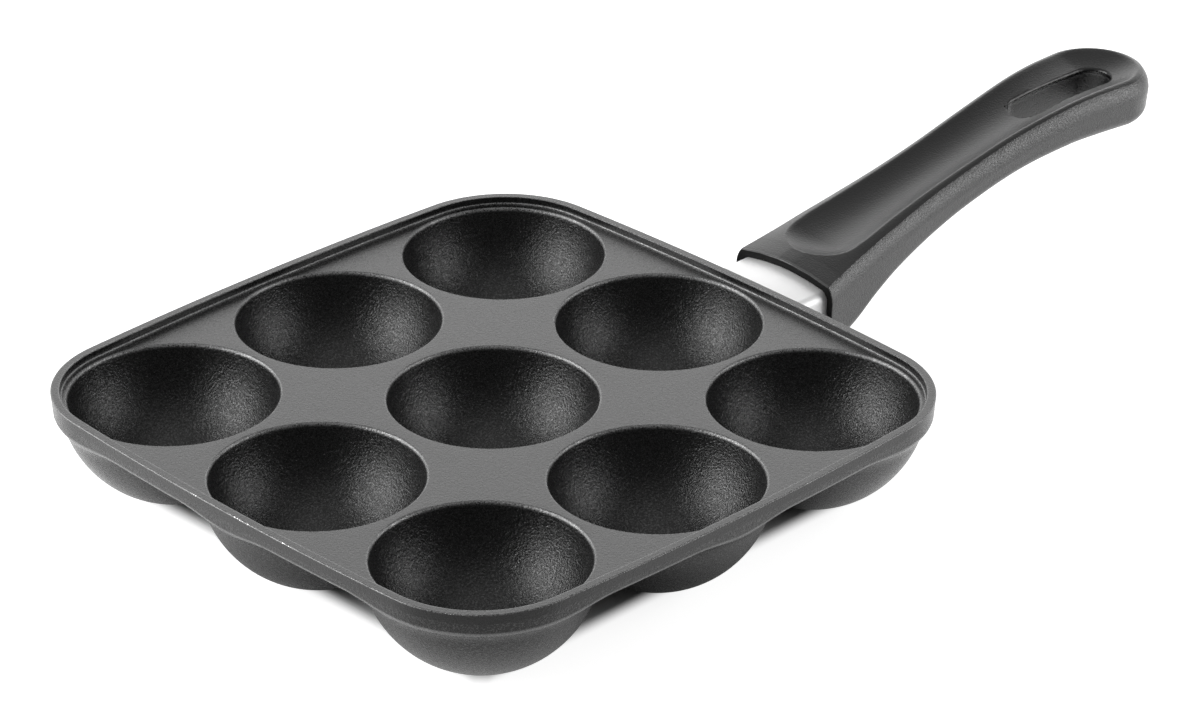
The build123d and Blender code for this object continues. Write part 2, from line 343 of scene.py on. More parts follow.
def buildPanUnderside(bm, placeOnRim):
    cells, border = cellNetwork(bm, placeOnRim, undersideAt)
    footRadius, footRound = pan["footRadius"], pan["footRound"]
    first = atan2(-sqrt(outerRadius**2 - coveMeets**2), coveMeets)
    last = atan2(-ballHeight, footRadius + footRound)
    turns = evenly(first, last, pan["bowlRings"])[1:]
    ball = [(outerRadius * cos(turn), ballHeight + outerRadius * sin(turn)) for turn in turns]
    foot = [(footRadius, pan["footRise"]), (footRadius - footRound / 2, 0), (footRadius / 2, 0)]
    # the foot ring is painted paler, with the same colour as the painted edge highlights
    footPaler = (0.8, 0.5, 0.1)
    loops = []
    for place, edges in cells.items():
        for share in coveShares:
            edges = grow(bm, edges, drawIn(bowlPlaces[place], coveMeets + (covePlace - coveMeets) * share))
        loops += edges
    growBowls(bm, loops, [(ring, 0) for ring in ball] + list(zip(foot, footPaler)), 0)
    return border


def lowerEdge(x, y, share):
    # the round between the outer wall and the underside: share 0 is on the wall, 1 on the underside
    crease = rimPoint(x, y, wallInset(plateBottom), 0)
    crease.z = undersideAt(crease.x, crease.y)
    crease = rimPoint(x, y, wallInset(crease.z), crease.z)
    onWall = rimPoint(x, y, wallInset(crease.z + pan["lowerRound"]), crease.z + pan["lowerRound"])
    under = rimPoint(x, y, wallInset(crease.z) + pan["lowerRound"], 0)
    under.z = undersideAt(under.x, under.y)
    return onWall * (1 - share)**2 + crease * 2 * share * (1 - share) + under * share**2


def aboveLowerEdge(x, y):
    # a ring on the outer wall, where the painted highlight of the lower edge ends
    height = lowerEdge(x, y, 0).z + pan["lowerHighlightBand"]
    return rimPoint(x, y, wallInset(height), height)


def buildRim(bm, border):
    # from the plate up over the ledge and the rim, and down the outer wall
    ledgeTop = plateTop + pan["ledgeHeight"]
    ledgeRound, innerRound, outerRound = pan["ledgeRound"], pan["rimInnerRound"], pan["rimOuterRound"]
    profile = arcPoints((floorInset - ledgeRound, ledgeTop - ledgeRound), ledgeRound, 0, 90, 3)
    profile += [(pan["rimTop"] + pan["stepGap"], ledgeTop)]
    profile += arcPoints((pan["rimTop"] - innerRound, rimTop - innerRound), innerRound, 0, 90, 4)
    profile += [(pan["rimTop"] - innerRound - pan["topHighlightBand"], rimTop), (outerRound + pan["topHighlightBand"], rimTop)]
    profile += arcPoints((outerRound, rimTop - outerRound), outerRound, 90, 180, 5)
    profile[-1] = (wallInset(rimTop - outerRound), rimTop - outerRound)
    # painted highlight: how strongly each ring of the ledge and the rim is painted paler; on the rim's outer
    # round these also place the nicks
    ledgeHighlight = (0.6, 1, 1, 0.4, 0)
    rimHighlightAndWear = (0, 0.3, 0.5, 0.6, 0.6) + (0, 0) + (0.2, 0.5, 0.75, 0.75, 0.4, 0)
    for (inset, height), wearAndHighlight in zip(profile, ledgeHighlight + rimHighlightAndWear):
        border = grow(bm, border, lambda point: rimPoint(point.x, point.y, inset, height), wearAndHighlight)
    border = grow(bm, border, lambda point: aboveLowerEdge(point.x, point.y))
    # painted highlight along the lower edge, strongest at its top where the wall is lit
    lowerHighlightBand = (0.9, 1, 1, 0.8, 0.5, 0)
    for share, wearAndHighlight in zip(evenly(0, 1, 5), lowerHighlightBand):
        border = grow(bm, border, lambda point: lowerEdge(point.x, point.y, share), wearAndHighlight)


# The sleeve's outline across the handle, which the root and the grip's mouth follow
sleeve = {
    "width": 37.5,
    "height": 20.5,
    "drop": 1.8,
    "crown": 1.6,
    "corner": 3.2,
    "metal": 1.0,
    "shown": 18.0,
    "inGrip": 3.0,
    "leastCorner": 0.4,
    "edgeRound": 0.2,
    "clearance": 0.3,  # round the tang and round the sleeve in the grip
    "rootProud": 0.8,
    "rootLength": 1.53,
    "rootOverlap": 12.67,
    "rootRound": 0.6,
    "rootSunk": 1.3,
    "tangWidth": 20.0,
    "tangHeight": 9.0,
    "tangDrop": 10.0,
    "tangInGrip": 21.8,
    "tangRound": 0.6,
}
sleeveTop = plateTop - sleeve["drop"]
sleeveMiddle = sleeveTop - sleeve["height"] / 2
sleeveStart = pan["rimHalf"] + sleeve["rootLength"]
gripMouth = sleeveStart + sleeve["shown"]
sleeveEnd = gripMouth + sleeve["inGrip"]


def sleeveOutline(outset, along):
    # the sleeve's outline at one place along the handle, grown by the outset
    half = sleeve["width"] / 2 + outset
    radius = max(sleeve["leastCorner"], sleeve["corner"] + outset)
    shoulder = sleeveTop + outset - sleeve["crown"]
    bottom = sleeveTop - sleeve["height"] - outset
    reach = half - radius
    right = arcPoints((reach, bottom + radius), radius, -90, 0, 8)
    right += arcPoints((reach, shoulder - radius), radius, 0, 90, 8)
    crown = [(reach * share, shoulder + sleeve["crown"] * (1 - share**2))
             for share in evenly(1, -1, 16)[1:-1]]
    left = [(-across, height) for across, height in reversed(right)]
    floor = [(reach * share, bottom) for share in evenly(-1, 1, 8)[1:-1]]
    return [Vector((along, across, height)) for across, height in right + crown + left + floor]


def buildRoot(bm):
    # the lug that the sleeve butts against, grown out of the edge bowl's wall, and the tang behind it
    proud, rounding = sleeve["rootProud"], sleeve["rootRound"]
    core = -sleeve["metal"] - sleeve["clearance"]
    steps = [(sleeveStart - rounding * (1 - sin(turn)), proud - rounding * (1 - cos(turn)))
             for turn in evenly(0, pi / 2, 3)]
    steps += [(sleeveStart, core), (gripMouth - sleeve["clearance"], core)]
    rings = [ringThrough(bm, sleeveOutline(outset, along)) for along, outset in steps]
    skin(bm, rings)
    bmesh.ops.edgeloop_fill(bm, edges=rings[-1])
    # the hidden end stays inside the bowl's wall
    heart = Vector((0, 0, sleeveMiddle))
    inWall = outerRadius - sleeve["rootSunk"]

    def intoWall(share):
        def place(point):
            across, height = point.y * share, heart.z + (point.z - heart.z) * share
            along = pan["edgeBowl"] + sqrt(inWall**2 - across**2 - (height - ballHeight)**2)
            return Vector((max(pan["rimHalf"] - sleeve["rootOverlap"], along), across, height))
        return place

    edges = rings[0]
    for share in (1, 0.8, 0.75, 2 / 3, 0.5):  # each of the ring before it
        edges = grow(bm, edges, intoWall(share))
    closePole(bm, edges, intoWall(0)(heart))
    tangLength = gripMouth + sleeve["tangInGrip"] - sleeveStart
    middle = Matrix.Translation((sleeveStart + tangLength / 2, 0, plateTop - sleeve["tangDrop"]))
    size = Matrix.Diagonal((tangLength, sleeve["tangWidth"], sleeve["tangHeight"], 1))
    tang = bmesh.ops.create_cube(bm, size=1, matrix=middle @ size)["verts"]
    edges = list({edge for vert in tang for edge in vert.link_edges})
    bmesh.ops.bevel(bm, geom=edges, offset=sleeve["tangRound"], segments=3, profile=0.5, affect="EDGES",
                    material=-1)


def buildPan():
    bm = bmesh.new()
    bm.verts.layers.float.new("wearAndHighlight")
    border = buildPanTop(bm)
    buildRim(bm, border)
    buildPanUnderside(bm, lambda x, y: lowerEdge(x, y, 1))
    buildRoot(bm)
    piece = objectFrom("panBody", meshFrom(bm, "panBody"))
    weighNormals(piece)
    return piece


# The moulded grip, with its trough, hang slot and screw hole
grip = {
    "reach": 149.8,
    "width": 43.4,
    "depth": 23.2,
    "rise": 23.4,
    "drop": 1.3,
    "sideRoundWidth": 2.2,
    "sideRoundHeight": 5.8,
    "sideLean": 0.5,
    "lowerRadius": 4.4,
    "sag": 0.8,
    "troughRadius": 13.3,
    "ridge": 3.1,
    "ridgeGap": 0.12,
    "troughDepth": 4.6,
    "troughEdge": 0.35,
    "leastTrough": 3.0,
    "smoothDown": 6.0,  # how far the smooth top reaches down the side
    "slotLength": 45.8,
    "slotWidth": 13.0,
    "slotRound": 0.9,
    "slotCutter": (20.0, 80.0),  # its lower and upper end
    "mouthRound": 0.5,
    "mouthSlope": 0.3,
    "stationGap": 1.9,
    "noseStations": (-0.5, 0, 0.34, 0.8, 1.4),  # closer ones where the trough begins
    "sideSteps": 8,
    "tipSteps": 36,
    "counterbore": 5.0,
    "boreRound": 0.3,
    "screwInGrip": 11.8,
    "seatAbove": 19.06,
    "onCut": 0.06,  # a point this near a cut's wall belongs to it
    "cutMerge": 0.1,
}
# from the mouth to the end: how far along, the half width, the crease's rise, the depth and the crown
gripShares = [
    (0.000, 1.000, 0.000, 1.000, 0.118),
    (0.092, 0.912, 0.130, 0.989, 0.160),
    (0.172, 0.853, 0.243, 0.836, 0.192),
    (0.252, 0.798, 0.346, 0.720, 0.196),
    (0.372, 0.730, 0.500, 0.638, 0.196),
    (0.493, 0.709, 0.647, 0.586, 0.196),
    (0.653, 0.735, 0.838, 0.578, 0.198),
    (0.813, 0.809, 0.974, 0.625, 0.202),
    (0.907, 0.859, 1.000, 0.659, 0.200),
    (1.000, 0.898, 0.983, 0.677, 0.200),
]
# how far along, how wide the ridge beside the trough is, and how deep the trough
troughShares = [
    (0.132, 1.19, 0.65),
    (0.172, 1.00, 0.70),
    (0.252, 0.94, 0.75),
    (0.372, 0.74, 0.75),
    (0.493, 0.63, 0.75),
    (0.653, 0.56, 0.82),
    (0.813, 0.50, 0.92),
    (0.907, 0.55, 0.98),
    (1.000, 0.60, 1.00),
]
gripEnd = gripMouth + grip["reach"]
slotMiddle = gripEnd + grip["slotWidth"] / 2 - grip["slotLength"] / 2
slotReach = (grip["slotLength"] - grip["slotWidth"]) / 2
screwPlace = gripMouth + grip["screwInGrip"]


def smoothRow(rows, along):
    # a smooth curve through the rows of shares
    along = max(rows[0][0], min(rows[-1][0], along))
    index = min(len(rows) - 2, max(0, bisect_right([row[0] for row in rows], along) - 1))
    before, after = rows[index], rows[index + 1]
    width = after[0] - before[0]
    share = (along - before[0]) / width

    def slope(at, column):
        low, high = rows[max(0, at - 1)], rows[min(len(rows) - 1, at + 1)]
        return (high[column] - low[column]) / (high[0] - low[0])

    values = []
    for column in range(1, len(before)):
        a, b = before[column], after[column]
        up, down = slope(index, column) * width, slope(index + 1, column) * width
        bend = 3 * (b - a) - 2 * up - down
        swing = 2 * (a - b) + up + down
        values.append(a + share * (up + share * (bend + share * swing)))
    return values


def gripSection(x):
    # right half of one section, from the middle of the top round to the middle of the underside
    along = (x - gripMouth) / grip["reach"]
    width, rise, depth, crown = smoothRow(gripShares, along)
    half = width * grip["width"] / 2
    crease = plateTop - grip["drop"] + rise * grip["rise"]
    bottom = crease - depth * grip["depth"]
    crown *= half
    ridge = half - grip["sideRoundWidth"]
    troughStart = troughShares[0][0] * grip["reach"] + gripMouth
    ridgeShare, depthShare = smoothRow(troughShares, along)
    trough = ridge - ridgeShare * grip["ridge"]
    dish = depthShare * grip["troughDepth"]
    if x < troughStart:
        reach = 1 - min(1, ((troughStart - x) / grip["troughRadius"])**2)
        trough = grip["troughRadius"] * sqrt(reach)
        dish = troughShares[0][2] * grip["troughDepth"] * reach
    line = max(trough, grip["leastTrough"])
    edge = crease + crown * (1 - (trough / ridge)**2)

    def top(across):
        if across < trough:
            return edge - dish * (1 - (across / trough)**2)
        return crease + crown * (1 - (across / ridge)**2)

    rounding = grip["troughEdge"]
    insideShares = (0, 0.12, 0.24, 0.36, 0.48, 0.6, 0.72, 0.84, 0.93, 1)
    inside = [(line - rounding) * share for share in insideShares]
    strip = [line + rounding, line + rounding + (ridge - line - rounding) / 2, ridge - grip["ridgeGap"]]
    points = [(across, top(across)) for across in inside + strip]
    sideWidth, sideHeight = grip["sideRoundWidth"], grip["sideRoundHeight"]
    radius = (sideWidth**2 + sideHeight**2) / (2 * sideWidth)
    start = atan2(sideHeight, radius - sideWidth) * 180 / pi
    high = crease - sideHeight
    points += arcPoints((half - radius, high), radius, start, 0, grip["sideSteps"])
    foot = half - grip["sideLean"]
    lower = grip["lowerRadius"]
    low = bottom + lower
    points += [(half + (foot - half) * share, high + (low - high) * share) for share in evenly(0, 1, 5)[1:-1]]
    points += arcPoints((foot - lower, low), lower, 0, -90, 8)
    floor = foot - lower
    floorShares = (0.85, 0.7, 0.55, 0.4, 0.25, 0.12, 0)
    points += [(floor * share, bottom - grip["sag"] * (1 - share**2)) for share in floorShares]
    return [Vector((x, across, height)) for across, height in points]


topPoints = 13  # of a half section: the trough, its edge and the ridge beside it


def fullRing(half):
    # a whole section, from its right half
    left = [Vector((point.x, -point.y, point.z)) for point in reversed(half[1:-1])]
    return half + left


def buildGrip():
    bm = bmesh.new()
    rounding = grip["mouthRound"]
    troughNose = troughShares[0][0] * grip["reach"] + gripMouth - grip["troughRadius"]
    count = round(grip["reach"] / grip["stationGap"])
    stations = {gripMouth + rounding + ahead for ahead in evenly(0, grip["reach"] - rounding, count)}
    stations |= {troughNose + ahead for ahead in grip["noseStations"]}
    middle = Vector((gripMouth, 0, sleeveMiddle))
    rings = []
    for degrees in (90, 60, 30):  # the rounded edge of the mouth
        back = gripMouth + rounding * (1 - sin(radians(degrees)))
        inset = rounding * (1 - cos(radians(degrees)))
        inner = [point - (point - middle).normalized() * inset for point in fullRing(gripSection(gripMouth))]
        rings.append([Vector((back, point.y, point.z)) for point in inner])
    rings += [fullRing(gripSection(x)) for x in sorted(stations)]
    made = [ringThrough(bm, ring) for ring in rings]
    skin(bm, made)
    # the round end: half of the last section turned about the upright line through its middle
    endHalf = [edge for edge in made[-1] if all(vert.co.y > -tiny for vert in edge.verts)]
    turned = list({vert for edge in endHalf for vert in edge.verts}) + endHalf
    bmesh.ops.spin(bm, geom=turned, cent=(gripEnd, 0, 0), axis=(0, 0, -1), dvec=(0, 0, 0), angle=pi,
                   steps=grip["tipSteps"], use_merge=False)

    def fromMiddle(point):
        # the angle and the distance at which a point lies from the sleeve's middle
        return atan2(point.z - sleeveMiddle, point.y), hypot(point.z - sleeveMiddle, point.y)

    angles = sorted(fromMiddle(point) for point in sleeveOutline(sleeve["clearance"], gripMouth))

    def toOpening(point, along):
        turn = fromMiddle(point)[0]
        index = bisect_right(angles, (turn, 0)) % len(angles)
        (a, near), (b, far) = angles[index - 1], angles[index]
        gap = (b - a) % (2 * pi)
        share = ((turn - a) % (2 * pi)) / gap
        # straight between the outline's neighbouring points
        first = Vector((cos(a), sin(a))) * near
        second = Vector((cos(b), sin(b))) * far
        met = first + (second - first) * share
        return Vector((along, met.x, sleeveMiddle + met.y))

    # the mouth: a front face round the sleeve's opening, and the opening's walls
    slope = grip["mouthSlope"]
    front = grow(bm, made[0], lambda point: point.lerp(toOpening(point, gripMouth + slope / 2), 0.3))
    front = grow(bm, front, lambda point: toOpening(point, gripMouth + slope))
    front = grow(bm, front, lambda point: Vector((sleeveEnd, point.y, point.z)))
    bmesh.ops.edgeloop_fill(bm, edges=front)
    return objectFrom("handleGrip", meshFrom(bm, "handleGrip", smoothAngle=40))


def topOfGrip(x, y):
    # the height of the grip's top at a place seen from above, and the crease beside it
    if x > gripEnd:
        x, y = gripEnd, hypot(x - gripEnd, y)
    section = gripSection(max(gripMouth, x))
    across = abs(y)
    index = bisect_right([point.y for point in section[:topPoints]], across)
    index = min(topPoints - 1, max(1, index))
    low, high = section[index - 1], section[index]
    share = (across - low.y) / (high.y - low.y)
    return low.z + (high.z - low.z) * share, section[topPoints]


def fromSlot(point):
    # how far a point lies from the line along the slot's middle, seen from above
    return hypot(max(0, abs(point.x - slotMiddle) - slotReach), point.y)


def markGrip(bm):
    # gives each face its material, and marks how far each point of the slot's wall lies below the top
    nearby = 0.1
    slotSide = grip["slotWidth"] / 2 + nearby
    mouthFace = gripMouth + grip["mouthSlope"] + sleeve["clearance"]
    below = bm.verts.layers.float.new("belowTop")
    for vert in bm.verts:
        if fromSlot(vert.co) < slotSide:
            vert[below] = topOfGrip(vert.co.x, vert.co.y)[0] - vert.co.z
    for face in bm.faces:
        middle = face.calc_center_median()
        crease = topOfGrip(middle.x, middle.y)[1]
        across = abs(middle.y) if middle.x < gripEnd else hypot(middle.x - gripEnd, middle.y)
        onTop = middle.z > crease.z - grip["smoothDown"] and across < crease.y + nearby
        # the mouth's front face gets the painted-shade material
        if middle.x < mouthFace and face.normal.x < -0.8:
            face.material_index = 2
        elif onTop and fromSlot(middle) >= slotSide:
            face.material_index = 0
        else:
            face.material_index = 1


def slotRing(bm, height):
    radius = grip["slotWidth"] / 2
    points = arcPoints((slotMiddle + slotReach, 0), radius, -90, 90, 24)
    points += arcPoints((slotMiddle - slotReach, 0), radius, 90, 270, 24)
    return ringThrough(bm, [Vector((x, y, height)) for x, y in points])


def cutAway(piece, cutterShape, crossing=False):
    # takes the cutter's shape out of the piece and hands back the mesh that is left
    cutter = objectFrom("cutter", meshFrom(cutterShape, "cutter"))
    boolean = piece.modifiers.new("cut", "BOOLEAN")
    boolean.operation = "DIFFERENCE"
    boolean.solver = "EXACT"
    boolean.use_self = crossing
    boolean.object = cutter
    cut = bpy.data.meshes.new_from_object(piece.evaluated_get(bpy.context.evaluated_depsgraph_get()))
    piece.modifiers.clear()
    bpy.data.objects.remove(cutter)
    return cut


def roundOff(bm, edges, offset, segments):
    bmesh.ops.bevel(bm, geom=edges, offset=offset, segments=segments, profile=0.5, affect="EDGES",
                    material=-1, clamp_overlap=False)


def cutGrip(piece):
    # takes the hang slot and the screw's counterbore out of the grip
    bm = bmesh.new()
    rings = [slotRing(bm, height) for height in grip["slotCutter"]]
    skin(bm, rings)
    for edges in rings:
        bmesh.ops.edgeloop_fill(bm, edges=edges)
    seat, bore = grip["seatAbove"], grip["counterbore"]
    bmesh.ops.create_cone(bm, cap_ends=True, segments=48, radius1=bore, radius2=bore, depth=seat,
                          matrix=Matrix.Translation((screwPlace, 0, seat / 2)))
    cut = cutAway(piece, bm)
    bm = bmesh.new()
    bm.from_mesh(cut)
    bmesh.ops.scale(bm, vec=(1 / mm, 1 / mm, 1 / mm), verts=bm.verts)

    def onSlot(point):
        return abs(fromSlot(point) - grip["slotWidth"] / 2) < grip["onCut"]

    def onBore(point):
        return abs(hypot(point.x - screwPlace, point.y) - bore) < grip["onCut"]

    def sharpOn(edge, test):
        folded = len(edge.link_faces) == 2 and edge.calc_face_angle(0) > radians(35)
        return folded and all(test(vert.co) for vert in edge.verts)

    # what lies close beside a cut's wall joins the wall, whichever of the two comes first
    walls = [vert for vert in bm.verts if onSlot(vert.co) or onBore(vert.co)]
    beside = bmesh.ops.find_doubles(bm, verts=bm.verts, keep_verts=walls, dist=grip["cutMerge"])
    bmesh.ops.weld_verts(bm, targetmap=beside["targetmap"])
    bmesh.ops.remove_doubles(bm, verts=bm.verts, dist=grip["cutMerge"])
    roundOff(bm, [edge for edge in bm.edges if sharpOn(edge, onSlot)], grip["slotRound"], 4)
    boreEdges = [edge for edge in bm.edges if sharpOn(edge, onBore)]
    boreMouth = [edge for edge in boreEdges if edge.verts[0].co.z < seat - grip["onCut"]]
    roundOff(bm, boreMouth, grip["boreRound"], 2)
    markGrip(bm)
    piece.data = meshFrom(bm, "handleGrip", smoothAngle=40, close=False)
    weighNormals(piece)


def buildFerrule():
    bm = bmesh.new()
    edge, metal = sleeve["edgeRound"], sleeve["metal"]
    rounded = [(edge - edge * sin(turn), edge * cos(turn) - edge) for turn in evenly(0, pi / 2, 3)]
    steps = [(sleeveStart + back, outset) for back, outset in rounded]
    steps += [(sleeveStart, edge - metal), (sleeveStart + edge, -metal)]
    steps += [(sleeveEnd - edge, -metal), (sleeveEnd, edge - metal)]
    steps += [(sleeveEnd - back, outset) for back, outset in reversed(rounded)]
    rings = [ringThrough(bm, sleeveOutline(outset, along)) for along, outset in steps]
    skin(bm, rings, cyclic=True)
    piece = objectFrom("ferrule", meshFrom(bm, "ferrule", smoothAngle=50))
    weighNormals(piece)
    return piece


# Screw and split spring washer under the grip
fastener = {
    "headRadius": 4.5,
    "headHeight": 3.2,
    "headRound": 1.1,
    "headDome": 0.25,
    "headEdge": 0.15,
    "shankRadius": 2.5,
    "shankTop": 25.46,
    "shankBevel": 0.4,
    "recessLength": 4.5,
    "recessWidth": 1.2,
    "recessDepth": 1.8,
    "washerOuter": 4.7,
    "washerInner": 2.7,
    "washerThick": 1.2,
    "splitDegrees": 11.0,
}


def buildScrew():
    bm = bmesh.new()
    top = grip["seatAbove"] - fastener["washerThick"]
    under = top - fastener["headHeight"]
    reach, rounding = fastener["headRadius"], fastener["headRound"]
    dome, edge = fastener["headDome"], fastener["headEdge"]
    shank, end, bevel = fastener["shankRadius"], fastener["shankTop"], fastener["shankBevel"]
    profile = [(0, under - dome), (reach * 0.4, under - dome * 0.8)]
    profile += arcPoints((reach - rounding, under + rounding), rounding, -90, 0, 5)
    profile += [(reach, top - edge), (reach - edge, top), (shank, top)]
    profile += [(shank, end - bevel), (shank - bevel, end), (0, end)]
    verts = [bm.verts.new((screwPlace + across, 0, height)) for across, height in profile]
    edges = [bm.edges.new(pair) for pair in zip(verts, verts[1:])]
    bmesh.ops.spin(bm, geom=verts + edges, cent=(screwPlace, 0, 0), axis=(0, 0, 1), dvec=(0, 0, 0),
                   angle=2 * pi, steps=48, use_merge=True)
    screw = objectFrom("handleScrew", meshFrom(bm, "handleScrew"))
    # the cross recess, cut with two crossed bars
    bm = bmesh.new()
    bar = (fastener["recessLength"], fastener["recessWidth"], 2 * fastener["recessDepth"], 1)
    for turn in (0, pi / 2):
        size = Matrix.Diagonal(bar)
        place = Matrix.Translation((screwPlace, 0, under - dome))
        bmesh.ops.create_cube(bm, size=1, matrix=place @ Matrix.Rotation(turn, 4, "Z") @ size)
    cut = cutAway(screw, bm, crossing=True)
    cut.polygons.foreach_set("use_smooth", [True] * len(cut.polygons))
    cut.set_sharp_from_angle(angle=radians(30))
    screw.data = cut
    return screw


def buildWasher():
    bm = bmesh.new()
    thick, inner, outer = fastener["washerThick"], fastener["washerInner"], fastener["washerOuter"]
    low = grip["seatAbove"] - thick
    section = [(inner, low), (outer, low), (outer, low + thick), (inner, low + thick)]
    start = radians(fastener["splitDegrees"] / 2)
    verts = [bm.verts.new((screwPlace + across * cos(start), across * sin(start), height))
             for across, height in section]
    face = bm.faces.new(verts)
    bmesh.ops.spin(bm, geom=[face], cent=(screwPlace, 0, 0), axis=(0, 0, 1), dvec=(0, 0, 0),
                   angle=2 * pi - 2 * start, steps=48, use_merge=False)
    return objectFrom("lockWasher", meshFrom(bm, "lockWasher"))


class Wire:
    # a socket in the shader graph, so that sums on it read as plain Python
    def __init__(self, graph, socket):
        self.graph = graph
        self.socket = socket

    def __add__(self, other):
        return self.graph.sum("ADD", self, other)

    def __sub__(self, other):
        return self.graph.sum("SUBTRACT", self, other)

    def __rsub__(self, other):
        return self.graph.sum("SUBTRACT", other, self)

    def __mul__(self, other):
        return self.graph.sum("MULTIPLY", self, other)

    def __pow__(self, other):
        return self.graph.sum("POWER", self, other)

    __radd__ = __add__
    __rmul__ = __mul__


class Graph:
    def __init__(self, tree):
        self.tree = tree
        self.tree.nodes.clear()

    def node(self, kind, values=None, out=0, **settings):
        made = self.tree.nodes.new(kind)
        for name, value in settings.items():
            setattr(made, name, value)
        for name, value in (values or {}).items():
            if isinstance(value, Wire):
                self.tree.links.new(value.socket, made.inputs[name])
            else:
                made.inputs[name].default_value = value
        return Wire(self, made.outputs[out]) if made.outputs else None

    def sum(self, operation, first, second):
        return self.node("ShaderNodeMath", {0: first, 1: second}, operation=operation)

    def clamp(self, value):
        return self.node("ShaderNodeClamp", {"Value": value})

    def between(self, value, low, high):
        # 0 below low, 1 above high, smooth in the middle
        return self.node("ShaderNodeMapRange", {"Value": value, "From Min": low, "From Max": high},
                         interpolation_type="SMOOTHSTEP")

    def colours(self, share, first, second):
        return self.node("ShaderNodeMix", {0: share, 6: first, 7: second}, out=2, data_type="RGBA")

    def place(self):
        return self.node("ShaderNodeTexCoord", out=3)

    def noise(self, scale, detail=2.0, rough=0.5, vector=None):
        values = {"Vector": vector or self.place(), "Scale": scale, "Detail": detail, "Roughness": rough}
        return self.node("ShaderNodeTexNoise", values)

    def bump(self, height, depth, strength=1.0):
        return self.node("ShaderNodeBump", {"Height": height, "Distance": depth, "Strength": strength})

    def measure(self, operation, first, second=None):
        # a length, a distance or a dot product of two directions
        values = {0: first} if second is None else {0: first, 1: second}
        return self.node("ShaderNodeVectorMath", values, out=1, operation=operation)

    def surface(self, **values):
        named = {name.replace("_", " "): value for name, value in values.items()}
        self.node("ShaderNodeOutputMaterial", {"Surface": self.node("ShaderNodeBsdfPrincipled", named)})


def newMaterial(name):
    material = bpy.data.materials.new(name)
    material.use_nodes = True
    return material, Graph(material.node_tree)


def grey(level):
    return (level, level, level, 1)


# Shades and roughness are as the shader takes them; a grain is the depth of its bumps in millimetres.
# A pair is where something fades in or out: millimetres past the mouth, or below an edge.
finishes = {
    "coatingDark": 0.003,
    "coatingLight": 0.006,
    "coatingRough": 0.26,
    "coatingGrain": 0.20,
    "coatingSheen": 0.6,
    "fleck": 0.10,
    "fleckShine": 0.95,
    # the next shade is painted highlight on the pan's rounded edges
    "paintedEdgeHighlight": 0.19,
    "bareMetal": 0.65,
    "nickBand": (0.8, 0.5),
    "wipedFrom": 0.3,
    "gripTop": 0.011,
    "gripSide": 0.030,
    # the next three shades are painted shade, in the slot, under its rounded edge and on the mouth's front
    # face; the one after is a painted highlight line
    "slotShade": 0.005,
    "stepShadow": 0.002,
    "gripMouth": 0.004,
    "paintedHighlightLine": 0.06,
    "mouthHighlightFades": (0.6, 1.0),
    "shadowBandBegins": (0.5, 0.7),
    "shadowBandEnds": (1.5, 1.7),
    "highlightLineEnds": (2.0, 2.3),
    "slotDarkens": (1.8, 3.0),
    "gripGrain": 0.22,
    "gripRough": 0.30,
    "gripSheen": 0.65,
    "topGrain": 0.11,
    "topRough": 0.32,
    "mouthRough": 0.6,
    "mouthSheen": 0.15,
    "steel": 0.97,
    "steelMetal": 0.3,
    "steelRough": 0.45,
    "steelBrush": 0.006,
}
# where the rim's outer edge is nicked most: x, y and reach in millimetres
nicks = [(-107.9, 12.5, 3.5), (-108.5, -8.5, 6.0), (-107.4, -28.5, 3.5), (-98.5, -92.0, 7.0)]


